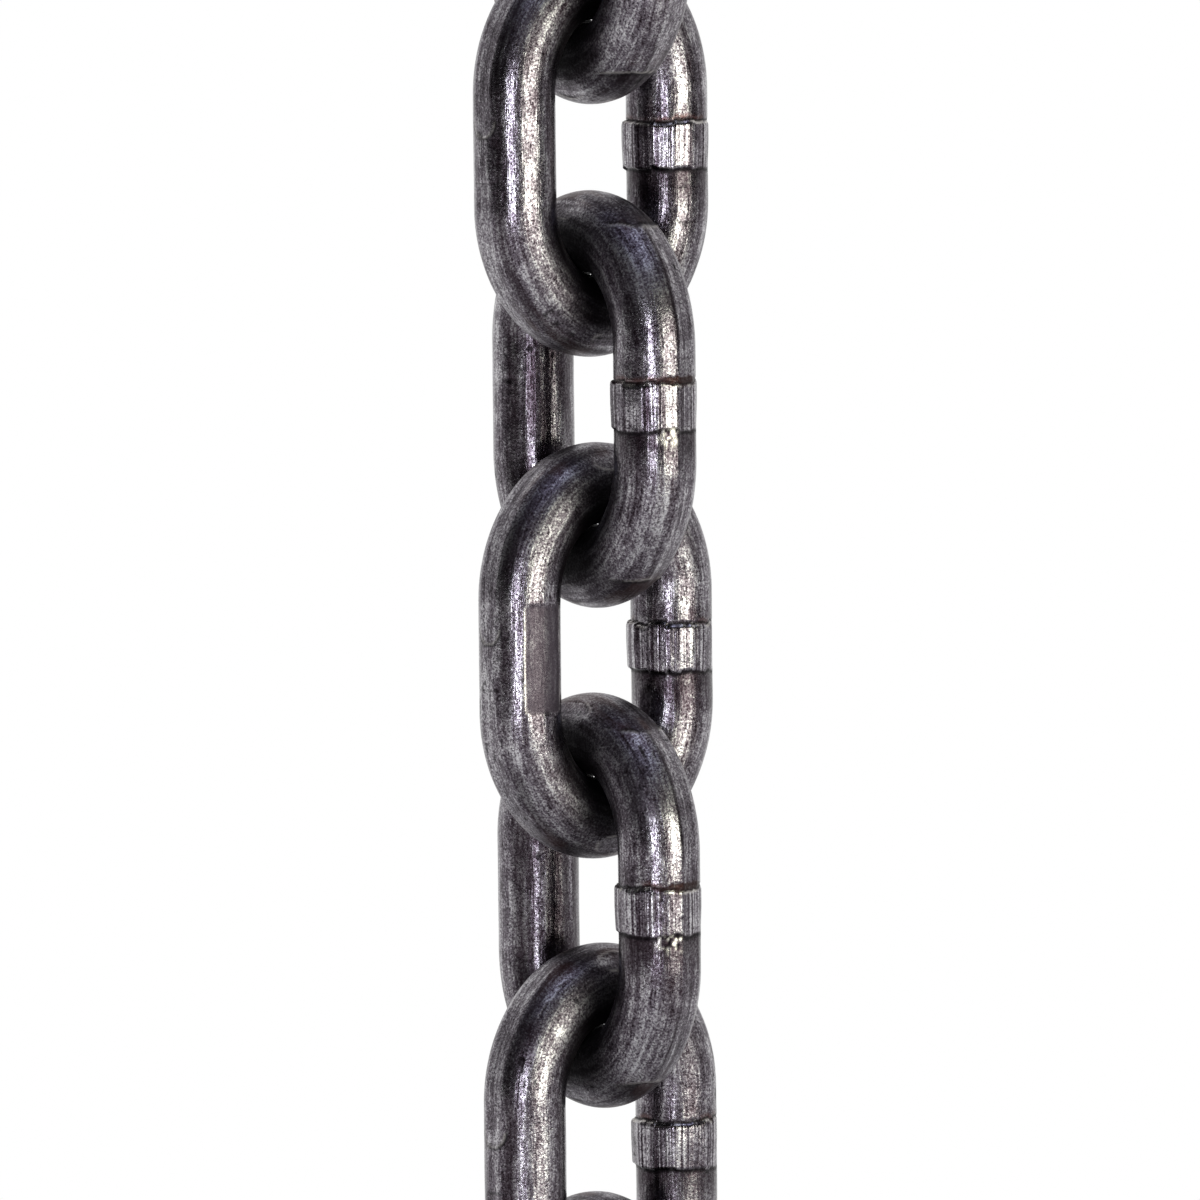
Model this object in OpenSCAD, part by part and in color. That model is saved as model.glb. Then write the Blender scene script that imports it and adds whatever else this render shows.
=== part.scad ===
// Run of welded short link chain, the load-bearing leg of a chain sling.
// Every link is a round bar bent to a closed loop and butt welded at the middle of one leg.
// Neighbours stand at right angles, and each hangs in the eye of the one above it.
// Origin: the seat in the eye of the top link. +Z is up and the run hangs down from it.
// A link is drawn in its own frame first: legs along Z at +X and -X, weld on the +X leg.

/* [Chain] */
// Number of links in the run
link_count = 9; // [3:1:15]
// Gap between the bars of two linked links where they bear on each other
seat_gap = 0.3; // [0.2:0.05:0.5]

/* [Link] */
// Diameter of the round bar
bar_d = 13; // [8:0.5:16]
// Inside length of a link, which is the pitch of the chain
inside_l = 40; // [36:0.5:60]
// Side play of a neighbour's bar between the legs
eye_play = 4.6; // [2:0.1:6]
// How much wider the eye's round end is bent than the neighbour's bar and its gap need
crest_play = 0.3; // [0:0.1:1]

/* [Weld band] */
// Length of the weld band along the bar
weld_l = 8; // [5:0.5:10]
// Height of the band over the bar, before its shift
weld_h = 0.42; // [0.3:0.02:0.6]
// Shift of the band towards the eye, where it is left proudest
weld_shift = 0.4; // [0:0.05:0.5]
// Chamfer at both ends of the band
weld_chamfer = 0.35; // [0.2:0.05:0.5]
// Number of strokes of the trimming tool round the band
trim_strokes = 17; // [13:1:21]
// Depth that each stroke cuts into the band at its middle
trim_dip = 0.1; // [0.05:0.01:0.15]
// Most that the end of one stroke runs short of the band's full length
trim_ragged = 0.9; // [0:0.1:1.5]

/* [Forming marks] */
// Width of the flat that the dies press along the outside of the bar
flat_w = 4; // [2:0.25:5]
// Turn of the weld leg's flat round the bar, away from straight outward
flat_turn = 14; // [0:1:20]
// Angle from the crest at which the plain leg's flat has run out to a point
runout_a = 24; // [15:1:30]
// Height over the middle of the plain leg where its upper flat ends in a tongue
tongue_z = 2.4; // [1:0.2:4]
// Radius of the tongue's tip
tongue_r = 2.4; // [2:0.1:3]
// Depth under the middle of the plain leg where its lower flat begins
step_z = 4.9; // [2:0.1:6]
// Width of the fainter flat between the tongue and the step
mid_flat_w = 2.6; // [1:0.1:3]
// Distance from the end of the link to the level crease where the welding die stopped
crease_drop = 5; // [3:0.25:5.5]
// Sideways sink of the crown beyond that crease, which fades out at the crest
crown_dip = 0.35; // [0.1:0.05:0.4]
// Depth of the facet on each side of a crest
facet_dip = 0.4; // [0.1:0.05:0.5]
// Tilt of that facet from the crest towards the face of the link
facet_a = 50; // [40:1:60]

/* [Pressed panel] */
// Height of the bare pressed panel on the middle link
panel_h = 17; // [8:0.2:17.2]
// Width of the panel, straight across
panel_w = 7.1; // [4:0.1:8]
// Depth of the panel
panel_dip = 0.12; // [0.05:0.01:0.3]
// Radius of the panel's corners
panel_corner = 0.8; // [0.3:0.1:2]
// Turn of the panel from the link's face towards the eye
panel_turn = 2.5; // [-10:0.5:10]

/* [Hidden] */
$fn = 96;

bar_r = bar_d / 2;
inside_w = bar_d + eye_play;
leg_x = (inside_w + bar_d) / 2;
link_step = inside_l - seat_gap;
top_centre_z = -inside_l / 2;
panel_link = floor((link_count + 1) / 2);
// Centre line of a crown: a tight crest round the neighbour's bar, between two wide shoulders.
// The shoulder's radius and the leg's length are rounded, so that the arcs meet without a step.
shoulder_a = 45;
// How far a crest's arc runs past the middle before it is cut off
past_a = 10;
crest_r = bar_d + seat_gap + crest_play;
shoulder_r = to_micron((leg_x - crest_r * cos(shoulder_a)) / (1 - cos(shoulder_a)));
crest_z = inside_l / 2 + bar_r;
half_leg = to_micron(crest_z - crest_r - (shoulder_r - crest_r) * sin(shoulder_a));
crease_z = crest_z + bar_r - crease_drop;
flat_r = flat_reach(flat_w);
// What the cutting blocks pass beyond the bar
over = 2;

function to_micron(length) = round(1000 * length) / 1000;
// Distance from the bar's axis to a flat of a given width
function flat_reach(width) = sqrt(bar_r * bar_r - width * width / 4);
// Even spread of values from 0 to 1 that repeats no pattern round the band
function spread(n) = (1 + sin(n * 137.5)) / 2;
// Distance by which the plain leg's run-out is bent wider than the crest
function runout_ease() =
    let (pressed_r = crest_r + flat_r, round_r = crest_r + bar_r, turn = 90 - runout_a - shoulder_a)
    to_micron((round_r * round_r - pressed_r * pressed_r) / (pressed_r - round_r * cos(turn)) / 2);

// Turns a section up over a shoulder
module over_shoulder()
    translate([leg_x - shoulder_r, 0, half_leg])
        rotate([90, 0, 0])
            rotate_extrude(angle = shoulder_a)
                children();

// Turns a section on over the crest from the shoulder's end, on a wider curve where asked.
// Its centre lies at a round place and a remainder from it, which keeps the ends of both arcs together.
module over_crest(turn, wider = 0) {
    way = (shoulder_r - crest_r - wider) * [cos(shoulder_a), 0, sin(shoulder_a)];
    round_way = [to_micron(way[0]), 0, to_micron(way[2])];
    translate([leg_x - shoulder_r, 0, half_leg] + round_way)
        translate(way - round_way)
            rotate([90, 0, 0])
                rotate_extrude(angle = turn, start = shoulder_a)
                    children();
}

module both_ends()
    for (end = [0, 1])
        mirror([0, 0, end])
            children();

// One side of the bar: a leg, its shoulders, and the near half of each crest with a little more
module bar_side() {
    translate([leg_x, 0, 0])
        cylinder(d = bar_d, h = 2 * half_leg, center = true);
    both_ends() {
        over_shoulder()
            translate([shoulder_r, 0])
                circle(d = bar_d);
        over_crest(90 + past_a - shoulder_a)
            translate([crest_r, 0])
                circle(d = bar_d);
    }
}

// Both sides are cut off at the middle, so that they meet face to face
module link_blank()
    for (side = [0, 1])
        mirror([side, 0, 0])
            intersection() {
                bar_side();
                translate([0, -bar_d, -crest_z - bar_d])
                    cube([leg_x + bar_d, 2 * bar_d, 2 * (crest_z + bar_d)]);
            }

// The upset metal of the weld, trimmed in strokes that end at unequal heights
module weld_band() {
    band_r = bar_r + weld_h;
    stroke_a = 360 / trim_strokes;
    corner_r = (band_r - trim_dip) / cos(stroke_a / 2);
    translate([leg_x - weld_shift, 0, 0])
        intersection() {
            union() {
                both_ends()
                    translate([0, 0, weld_l / 2 - weld_chamfer])
                        cylinder(r1 = band_r, r2 = band_r - weld_chamfer, h = weld_chamfer);
                cylinder(r = band_r, h = weld_l - 2 * weld_chamfer, center = true);
            }
            union()
                for (i = [0:trim_strokes - 1]) {
                    low = -weld_l / 2 + trim_ragged * spread(i);
                    high = weld_l / 2 - trim_ragged * spread(i * 3 + 1);
                    rotate([0, 0, i * stroke_a])
                        translate([0, 0, low])
                            linear_extrude(height = high - low)
                                polygon([
                                    [0, 0],
                                    [corner_r * cos(stroke_a / 2), -corner_r * sin(stroke_a / 2)],
                                    [corner_r * cos(stroke_a / 2), corner_r * sin(stroke_a / 2)]
                                ]);
                }
        }
}

// Section that cuts the outside of the bar down to a flat
module flat_section(reach)
    translate([reach, -bar_r])
        square([bar_r - reach + over, bar_d]);

// All that lies beyond the crease on the weld's side of a crown
module beyond_crease(back)
    translate([-back, -bar_d, crease_z])
        cube([leg_x + bar_d, 2 * bar_d, bar_d]);

// The weld leg's one flat, from crease to crease, turned a little round the bar
module weld_leg_flat() {
    translate([leg_x, 0, 0])
        linear_extrude(height = 2 * half_leg, center = true)
            rotate(flat_turn)
                flat_section(flat_r);
    both_ends()
        difference() {
            union() {
                over_shoulder()
                    translate([shoulder_r, 0])
                        rotate(-flat_turn)
                            flat_section(flat_r);
                over_crest(90 - shoulder_a)
                    translate([crest_r, 0])
                        rotate(-flat_turn)
                            flat_section(flat_r);
            }
            beyond_crease(bar_d);
        }
}

module plain_leg_flat(reach, low, high)
    translate([leg_x, 0, low])
        linear_extrude(height = high - low)
            flat_section(reach);

// The plain leg's flats, and a run-out over each shoulder that thins to a point short of the crest
module plain_leg_flats() {
    tongue_middle = tongue_z + tongue_r;
    ease = runout_ease();
    plain_leg_flat(flat_r, -half_leg, -step_z);
    plain_leg_flat(flat_reach(mid_flat_w), -step_z, tongue_middle);
    plain_leg_flat(flat_r, tongue_middle, half_leg);
    translate([leg_x, 0, tongue_middle])
        rotate([0, 90, 0])
            translate([0, 0, flat_r])
                cylinder(r = tongue_r, h = bar_r - flat_r + over);
    both_ends() {
        over_shoulder()
            translate([shoulder_r, 0])
                flat_section(flat_r);
        over_crest(90 - runout_a - shoulder_a, ease)
            translate([crest_r + ease, 0])
                flat_section(flat_r);
    }
}

// The crown's side beyond the crease, left a little nearer the middle of the link
module crown_sink()
    intersection() {
        translate([-crown_dip, 0, crest_z - crest_r])
            rotate([90, 0, 0])
                rotate_extrude(angle = 90 + past_a)
                    difference() {
                        translate([crest_r, -bar_r - over])
                            square([bar_r + over, bar_d + 2 * over]);
                        translate([crest_r, 0])
                            circle(d = bar_d);
                    }
        beyond_crease(crown_dip);
    }

module crest_facets()
    translate([0, 0, crest_z])
        for (tilt = [-facet_a, facet_a])
            rotate([tilt, 0, 0])
                translate([-leg_x, -bar_r, bar_r - facet_dip])
                    cube([2 * leg_x, bar_d, over]);

module panel_outline() {
    square([panel_w, panel_h - 2 * panel_corner], center = true);
    square([panel_w - 2 * panel_corner, panel_h], center = true);
    for (side = [-1, 1], end = [-1, 1])
        translate([side * (panel_w / 2 - panel_corner), end * (panel_h / 2 - panel_corner)])
            circle(r = panel_corner);
}

// Bare panel pressed to an even depth in the face of a plain leg
module pressed_panel()
    intersection() {
        difference() {
            cylinder(r = bar_r + over, h = panel_h + over, center = true);
            cylinder(r = bar_r - panel_dip, h = panel_h + over, center = true);
        }
        rotate([90, 0, panel_turn])
            linear_extrude(height = bar_r + over)
                panel_outline();
    }

module chain_link(number)
    difference() {
        union() {
            link_blank();
            weld_band();
        }
        weld_leg_flat();
        mirror([1, 0, 0])
            plain_leg_flats();
        both_ends() {
            crown_sink();
            crest_facets();
        }
        if (number == panel_link)
            translate([-leg_x, 0, 0])
                pressed_panel();
    }

// Odd links lie in the XZ plane. Even links are a quarter turn on, with the weld towards -Y.
module placed_link(number)
    color("#46414a")
        translate([0, 0, top_centre_z - (number - 1) * link_step])
            rotate([0, 0, number % 2 == 1 ? 0 : -90])
                chain_link(number);

for (i = [1:link_count])
    placed_link(i);
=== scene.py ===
"""Look of a run of short link sling chain: nine welded links of tempered bar, hanging in a plain studio."""

import logging
import math
from collections.abc import Callable
from dataclasses import dataclass, field
from enum import Enum, IntEnum
from functools import partial
from typing import NamedTuple

import bmesh
import bpy
import numpy as np
from mathutils import Matrix, Vector


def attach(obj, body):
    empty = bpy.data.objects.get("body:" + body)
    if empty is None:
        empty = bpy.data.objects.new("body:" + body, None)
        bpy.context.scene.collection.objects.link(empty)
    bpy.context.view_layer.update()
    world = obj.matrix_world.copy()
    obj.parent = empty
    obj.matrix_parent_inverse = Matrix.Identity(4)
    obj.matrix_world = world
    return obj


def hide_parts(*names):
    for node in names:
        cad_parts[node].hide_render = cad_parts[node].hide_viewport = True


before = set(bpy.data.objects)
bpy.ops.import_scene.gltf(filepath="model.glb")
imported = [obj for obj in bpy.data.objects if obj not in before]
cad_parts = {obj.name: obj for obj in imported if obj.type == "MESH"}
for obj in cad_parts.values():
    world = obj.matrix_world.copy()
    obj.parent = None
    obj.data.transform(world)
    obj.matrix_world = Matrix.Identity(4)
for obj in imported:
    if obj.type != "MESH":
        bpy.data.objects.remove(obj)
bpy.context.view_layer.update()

MM = 0.001
# What a place on a link can be like, painted shade and highlights included:
# point attributes that the links write and the steel reads
MARKS = ("pressed", "worn_and_glint", "painted_shade", "heat_tint_and_shade", "tinted", "trimmed", "panel", "bent")
# Spacing of the links' seeds, wider than the numbers of the draws on one link
SEED_STEP = 97
# A distance in mm past anything on a link, for places that a tool doesn't touch
UNTOUCHED = 99.0
log = logging.getLogger("sling_chain")

Array = np.ndarray
Socket = bpy.types.NodeSocket
Node = bpy.types.Node
Adder = Callable[..., Node]


class Stand(Enum):
    """Which way a link's face looks, as a turn about the hanging line in degrees."""

    FACE_TO_Y = 0.0
    FACE_TO_X = -90.0


class Crown(Enum):
    """The two ends of a link, as the sign of their height."""

    UPPER = 1.0
    LOWER = -1.0


class Draw(IntEnum):
    """Number of each random draw on a link, which sets its seed."""

    SWELL = 1
    RIPPLE = 2
    SEAMS = 3
    PITS = 4
    PITTED_AREAS = 5
    BEND_ENDS = 6
    CREASE_WAVER = 11
    FLAT_OUTLINE = 12
    HAMMERING = 13
    BURR = 14
    FACET_LEVEL = 15
    FLAT_SIDE = 16
    FLAT_SIDE_GAPS = 17
    STRIPE = 18
    STRIPE_GAPS = 19
    FACET_RIM = 20
    BAND_TOP = 21
    BAND_BOTTOM = 22
    BAND_LINES = 23
    BAND_LIP = 24
    TORN = 26
    TORN_EDGE = 27
    PANEL_SIDES = 28
    CREASE_DRIFT = 29
    STROKES = 29
    SHADED_PLAIN_SIDE = 30
    FRINGE = 31
    CREST_TINT = 32


def linear(hex_colour: str) -> tuple[float, float, float, float]:
    """Turns an sRGB hex colour to linear red, green, blue and a full alpha.

    Args:
        hex_colour: Six hex digits after a hash sign.

    Returns:
        The linear colour with an alpha of 1.
    """
    parts = [int(hex_colour[i : i + 2], 16) / 255.0 for i in (1, 3, 5)]
    red, green, blue = (p / 12.92 if p <= 0.04045 else ((p + 0.055) / 1.055) ** 2.4 for p in parts)
    return red, green, blue, 1.0


def rise(x: Array, start: float | Array, end: float | Array) -> Array:
    """Eases from 0 at start to 1 at end.

    Args:
        x: Values to read.
        start: Where the rise begins.
        end: Where it is complete, which may lie below start.

    Returns:
        The eased share at each value.
    """
    share = np.clip((x - start) / (end - start), 0.0, 1.0)
    return share * share * (3.0 - 2.0 * share)


def line(off: Array, far: float, near: float) -> Array:
    """A soft line: 1 up to near from its middle, easing to 0 at far, with off the distance either way."""
    return rise(np.abs(off), far, near)


def plane_reach(deep: float | Array, look: Array, least: float) -> Array:
    """Reach of a plane deep off the axis, for directions at the cosine look to it, down to the least."""
    return np.where(look > least, deep / np.maximum(look, least), UNTOUCHED)


def soft_min(a: Array, b: Array, edge: float) -> Array:
    """Takes the smaller of two surfaces, with the edge between them rounded.

    Args:
        a: First distance.
        b: Second distance.
        edge: How far the rounding reaches, in mm.

    Returns:
        The joined distance.
    """
    share = np.clip(0.5 + 0.5 * (b - a) / edge, 0.0, 1.0)
    return b * (1.0 - share) + a * share - edge * share * (1.0 - share)


@dataclass(frozen=True)
class BarPoints:
    """The points of a link's skin, read along its bar, in mm and radians."""

    centre: Array
    outward: Array
    angle: Array
    path: Array
    length: float

    @property
    def around(self) -> Array:
        """Unit direction from the bar's centre line to each point."""
        out = self.outward * np.cos(self.angle)[:, None]
        out[:, 1] += np.sin(self.angle)
        return out

    def shifted(self, radius: float, shift: float | Array) -> Array:
        """Reach of a round bar whose middle is shifted inwards."""
        return np.sqrt(radius**2 - (shift * np.sin(self.angle)) ** 2) - shift * np.cos(self.angle)

    @property
    def on_weld_side(self) -> Array:
        """1 on the half of the link that carries the weld, and 0 on the plain half."""
        return (np.abs(self.from_weld) <= self.length / 4).astype(float)

    @property
    def from_weld(self) -> Array:
        """Distance along the bar from the middle of the weld, upwards positive."""
        return (self.path + self.length / 2) % self.length - self.length / 2

    @property
    def from_plain(self) -> Array:
        """Distance along the bar from the middle of the plain leg, upwards positive."""
        return self.length / 2 - self.path % self.length

    @property
    def from_crest(self) -> Array:
        """Distance along the bar from the nearer crest, towards the plain leg positive."""
        quarter = self.length / 4
        upper = self.path % self.length - quarter
        return np.where(self.centre[:, 2] > 0, upper, 3 * quarter - self.path % self.length)


@dataclass(frozen=True)
class BarPath:
    """Centre line of a link: two legs, and over each end a tight crest between two wide shoulders, in mm."""

    bar_r: float = 6.5
    leg_x: float = 15.3
    half_leg: float = 8.796
    shoulder_r: float = 19.404
    crest_r: float = 13.6
    crest_z: float = 26.5
    shoulder_a: float = math.pi / 4

    @property
    def length(self) -> float:
        """Length of the closed centre line."""
        return 4 * (self.half_leg + self.shoulder_a * (self.shoulder_r + self.crest_r))

    def flat_reach(self, width: float) -> float:
        """Distance from the bar's axis of a flat of this width."""
        return math.sqrt(self.bar_r**2 - width**2 / 4)

    def read(self, points: Array) -> BarPoints:
        """Reads where points lie along and round the bar.

        Args:
            points: Points of the plain bar in the link's own frame, in mm.

        Returns:
            Their places on the bar.
        """
        x, y, z = points.T
        side, end = np.where(x < 0, -1.0, 1.0), np.where(z < 0, -1.0, 1.0)
        u, w = np.abs(x), np.abs(z)
        shoulder_x, crest_base = self.leg_x - self.shoulder_r, self.crest_z - self.crest_r
        shoulder = np.arctan2(w - self.half_leg, u - shoulder_x)
        crest = np.arctan2(w - crest_base, u)
        on_leg, on_crest = w <= self.half_leg, shoulder > self.shoulder_a
        turn = np.where(on_leg, 0.0, np.where(on_crest, crest, shoulder))
        r = np.where(on_crest, self.crest_r, self.shoulder_r)
        centre_u = np.where(on_crest, 0.0, shoulder_x) + r * np.cos(turn)
        centre_w = np.where(on_leg, w, np.where(on_crest, crest_base, self.half_leg) + r * np.sin(turn))
        outward = np.stack([side * np.cos(turn), np.zeros_like(x), end * np.sin(turn)], axis=1)
        centre = np.stack([side * centre_u, np.zeros_like(x), end * centre_w], axis=1)
        angle = np.arctan2(y, ((points - centre) * outward).sum(axis=1))
        arc = self.shoulder_r * np.minimum(turn, self.shoulder_a)
        arc = arc + self.crest_r * np.maximum(turn - self.shoulder_a, 0.0)
        along = np.where(on_leg, w, self.half_leg + arc)
        path = end * np.where(side > 0, along, self.length / 2 - along)
        return BarPoints(centre, outward, angle, path % self.length, self.length)

    def patches(self, bar: BarPoints, seed: int, round_mm: float, along_mm: float) -> Array:
        """Draws smooth random values on a grid that closes round the bar and along it.

        Args:
            bar: Places on the bar.
            seed: Seed of this draw.
            round_mm: Size of a patch round the bar.
            along_mm: Size of a patch along the bar.

        Returns:
            Values from -1 to 1.
        """
        rows = max(3, round(2 * math.pi * self.bar_r / round_mm))
        columns = max(3, round(self.length / along_mm))
        grid = np.random.default_rng(seed).uniform(-1.0, 1.0, (rows, columns))
        u = bar.angle / (2 * math.pi) % 1.0 * rows
        v = bar.path / self.length % 1.0 * columns
        i, j = np.floor(u).astype(int), np.floor(v).astype(int)
        fu, fv = rise(u - i, 0.0, 1.0), rise(v - j, 0.0, 1.0)
        i, j = i % rows, j % columns
        k, m = (i + 1) % rows, (j + 1) % columns
        low = grid[i, j] * (1 - fu) + grid[k, j] * fu
        high = grid[i, m] * (1 - fu) + grid[k, m] * fu
        return low * (1 - fv) + high * fv


@dataclass
class Skin:
    """A link's surface while it is worked: its reach from the centre line and what each place is like."""

    path: BarPath
    bar: BarPoints
    seed: int
    reach: Array
    marks: dict[str, Array] = field(default_factory=dict)
    cut_fade: tuple[float, float] = (-0.02, 0.05)

    def mark(self, name: str, share: Array) -> None:
        """Raises a mark to share wherever share is the larger."""
        self.marks[name] = np.maximum(self.marks.get(name, np.zeros_like(share)), share)

    def cut(self, level: Array, share: Array, edge: float = 0.05) -> Array:
        """Lowers the surface to a level inside an area.

        Args:
            level: Reach of the cut.
            share: How much of the cut applies at each place.
            edge: Rounding of the cut's rim, in mm.

        Returns:
            How much of the cut is really there, from 0 to 1.
        """
        before = self.reach
        self.reach = before + (soft_min(before, level, edge) - before) * share
        return rise(before - level, *self.cut_fade) * share

    def patches(self, draw: Draw, round_mm: float, along_mm: float) -> Array:
        """Random patches of this link, from -1 to 1."""
        return self.path.patches(self.bar, self.seed * SEED_STEP + draw, round_mm, along_mm)

    def depths(self, draw: Draw, round_mm: float, along_mm: float) -> Array:
        """Random patches of this link, from 0 to 1."""
        return 0.5 + 0.5 * self.patches(draw, round_mm, along_mm)

    @property
    def height(self) -> Array:
        """Distance of each point over or under the level of the link's middle."""
        return np.abs(self.bar.centre[:, 2] + self.bar.around[:, 2] * self.reach)


@dataclass(frozen=True)
class RolledBar:
    """Hot rolled bar as it comes to the chain machine: round, but never quite even, with a few scale pits.

    Depths are in mm, and a patch is its size round the bar and along it, in mm.
    """

    swell: float = 0.06
    swell_patch: tuple[float, float] = (9.0, 12.0)
    ripple: float = 0.035
    ripple_patch: tuple[float, float] = (2.6, 3.6)
    seam: float = 0.02
    seam_patch: tuple[float, float] = (1.2, 16.0)
    pit: float = 0.06
    pit_patch: tuple[float, float] = (0.8, 0.95)
    pitted_patch: tuple[float, float] = (6.0, 11.0)
    pit_shade: float = 0.8
    bent_reach: tuple[float, float] = (27.0, 15.0)
    bent_waver: float = 2.5
    bent_patch: tuple[float, float] = (7.0, 7.0)

    def work(self, skin: Skin) -> None:
        """Takes the unevenness off a link's surface.

        Args:
            skin: The surface being worked.
        """
        skin.reach -= self.swell * skin.depths(Draw.SWELL, *self.swell_patch)
        skin.reach -= self.ripple * skin.depths(Draw.RIPPLE, *self.ripple_patch)
        skin.reach -= self.seam * rise(skin.patches(Draw.SEAMS, *self.seam_patch), 0.2, 0.9)
        pits = rise(skin.patches(Draw.PITS, *self.pit_patch), 0.62, 0.85)
        pits = pits * rise(skin.patches(Draw.PITTED_AREAS, *self.pitted_patch), 0.1, 0.5)
        skin.reach -= self.pit * pits
        waver = self.bent_waver * skin.patches(Draw.BEND_ENDS, *self.bent_patch)
        skin.mark("bent", rise(np.abs(skin.bar.from_crest) + waver, *self.bent_reach))
        # Painted shade in the scale pits
        skin.mark("painted_shade", self.pit_shade * pits)


@dataclass(frozen=True)
class DieMarks:
    """Flats, creases and facets that the dies press into the hot bar, in mm and degrees."""

    flat_w: float = 4.0
    mid_flat_w: float = 2.6
    flat_turn: float = 14.0
    flat_rim: float = 0.06
    flat_facing: float = 0.3
    hammering: float = 0.03
    runout_a: float = 24.0
    crease_z: float = 28.0
    crease_edge: float = 0.1
    crease_waver: float = 0.16
    crease_drift: float = 0.3
    crown_dip: float = 0.35
    burr: float = 0.05
    tongue_z: float = 2.4
    tongue_r: float = 2.4
    tongue_rim: float = 0.004
    outline_waver: float = 0.15
    step_z: float = 4.9
    step_edge: float = 0.12
    stripe_turn: float = -30.0
    facing: float = 0.5
    facet_dip: float = 0.4
    facet_a: float = 50.0
    facet_rim: float = 0.08
    facet_waver: float = 0.04

    def work(self, skin: Skin) -> None:
        """Presses every die mark into a link's surface.

        Args:
            skin: The surface being worked.
        """
        beyond = skin.height - self.crease_z + self.crease_waver * skin.patches(Draw.CREASE_WAVER, 1.8, 1.8)
        beyond = beyond + self.crease_drift * skin.patches(Draw.CREASE_DRIFT, 5.0, 7.0)
        self.press_weld_flat(skin, beyond)
        self.press_plain_flats(skin)
        self.sink_crowns(skin, beyond)
        for crown in Crown:
            for side in (-1.0, 1.0):
                self.press_facet(skin, crown, side)
        self.shade(skin)

    def press_weld_flat(self, skin: Skin, beyond: Array) -> None:
        """Presses the long flat on the weld leg, up to the crease at each end.

        Args:
            skin: The surface being worked.
            beyond: Distance past the level of the crease.
        """
        share = rise(beyond, self.crease_edge, -self.crease_edge) * skin.bar.on_weld_side
        hold = self.cut_flat(skin, skin.path.flat_reach(self.flat_w), self.flat_turn, share)
        skin.mark("pressed", 0.6 * hold)
        half = math.asin(self.flat_w / 2 / skin.path.bar_r)
        edge = skin.path.bar_r * (skin.bar.angle - math.radians(self.flat_turn) + half)
        edge = edge + 0.2 * skin.patches(Draw.FLAT_SIDE, 3.0, 3.0)
        away = rise(np.abs(skin.bar.from_weld), 5.5, 8.0)
        away = away * rise(skin.patches(Draw.FLAT_SIDE_GAPS, 4.0, 6.0), -0.5, 0.2)
        skin.mark("heat_tint_and_shade", 0.9 * line(edge, 0.55, 0.1) * away * share)

    def press_plain_flats(self, skin: Skin) -> None:
        """Presses the plain leg's two flats, the tongue between them and the fainter flat, and paints shade
        along their edges and a dark stripe down the leg.

        Args:
            skin: The surface being worked.
        """
        path, t = skin.path, skin.bar.from_plain
        across = path.bar_r * np.sin(skin.bar.angle)
        waver = self.outline_waver * skin.patches(Draw.FLAT_OUTLINE, 1.6, 1.6)
        middle = self.tongue_z + self.tongue_r
        tip = self.tongue_r - np.hypot(across, np.minimum(t - middle, 0.0)) + waver
        upper = rise(tip, -0.1, 0.1) * (t > 0)
        lower = rise(-t, self.step_z - self.step_edge + waver, self.step_z + self.step_edge + waver)
        plain = 1.0 - skin.bar.on_weld_side
        between = (1.0 - upper) * (1.0 - lower) * (np.abs(t) < middle + 1.0)
        faint = self.cut_flat(skin, path.flat_reach(self.mid_flat_w), 0.0, between)
        skin.mark("pressed", 0.5 * faint)
        skin.mark("pressed", self.cut_flat(skin, self.run_out(skin), 0.0, np.maximum(upper, lower) * plain))
        outer = np.cos(skin.bar.angle) > self.facing
        front = outer * (t < middle) * (t > 0)
        # Painted highlight along the tongue's rim, and painted shade just past it
        rim = line(tip + 0.05, 0.3, 0.08) * front
        skin.reach += self.tongue_rim * rim
        skin.mark("worn_and_glint", 0.35 * rim)
        skin.mark("painted_shade", 0.75 * line(tip + 0.35, 0.35, 0.08) * front)
        # Painted shade along the step at the lower flat's end
        step = line(t + self.step_z - waver, 0.3, 0.06) * rise(np.abs(across), 3.2, 1.6)
        skin.mark("painted_shade", 0.6 * step * outer)
        # Painted shade: a dark stripe down the plain leg, where the bar reflects the dim front of the studio
        stripe = path.bar_r * (skin.bar.angle - math.radians(self.stripe_turn))
        stripe = stripe + 0.35 * skin.patches(Draw.STRIPE, 4.0, 4.0)
        broken = rise(skin.patches(Draw.STRIPE_GAPS, 5.0, 7.0), -0.9, -0.1)
        skin.mark("heat_tint_and_shade", 0.8 * line(stripe, 1.3, 0.45) * plain * broken)

    def run_out(self, skin: Skin) -> Array:
        """Reach of the plain leg's flat, which rises to the round bar on a wider curve over the crest.

        Args:
            skin: The surface being worked.

        Returns:
            The flat's distance from the bar's axis.
        """
        path = skin.path
        pressed_r, round_r = path.crest_r + path.flat_reach(self.flat_w), path.crest_r + path.bar_r
        last = math.pi / 2 - math.radians(self.runout_a) - path.shoulder_a
        ease = (round_r**2 - pressed_r**2) / (pressed_r - round_r * math.cos(last)) / 2
        turn = np.arctan2(np.abs(skin.bar.outward[:, 2]), np.abs(skin.bar.outward[:, 0]))
        past = np.clip(turn - path.shoulder_a, 0.0, None)
        wide_r = pressed_r + ease
        return np.sqrt(wide_r**2 - (ease * np.sin(past)) ** 2) - ease * np.cos(past) - path.crest_r

    def cut_flat(self, skin: Skin, deep: float | Array, turn: float, share: Array) -> Array:
        """Cuts one flat, with the slight hammering of the die on it.

        Args:
            skin: The surface being worked.
            deep: Distance of the flat from the bar's axis.
            turn: Turn of the flat from the outermost line, in degrees.
            share: Where along the bar it is.

        Returns:
            How much of the flat is there at each place.
        """
        level = plane_reach(deep, np.cos(skin.bar.angle - math.radians(turn)), self.flat_facing)
        level = level - self.hammering * skin.depths(Draw.HAMMERING, 1.5, 2.2)
        return skin.cut(level, share, self.flat_rim)

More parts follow.
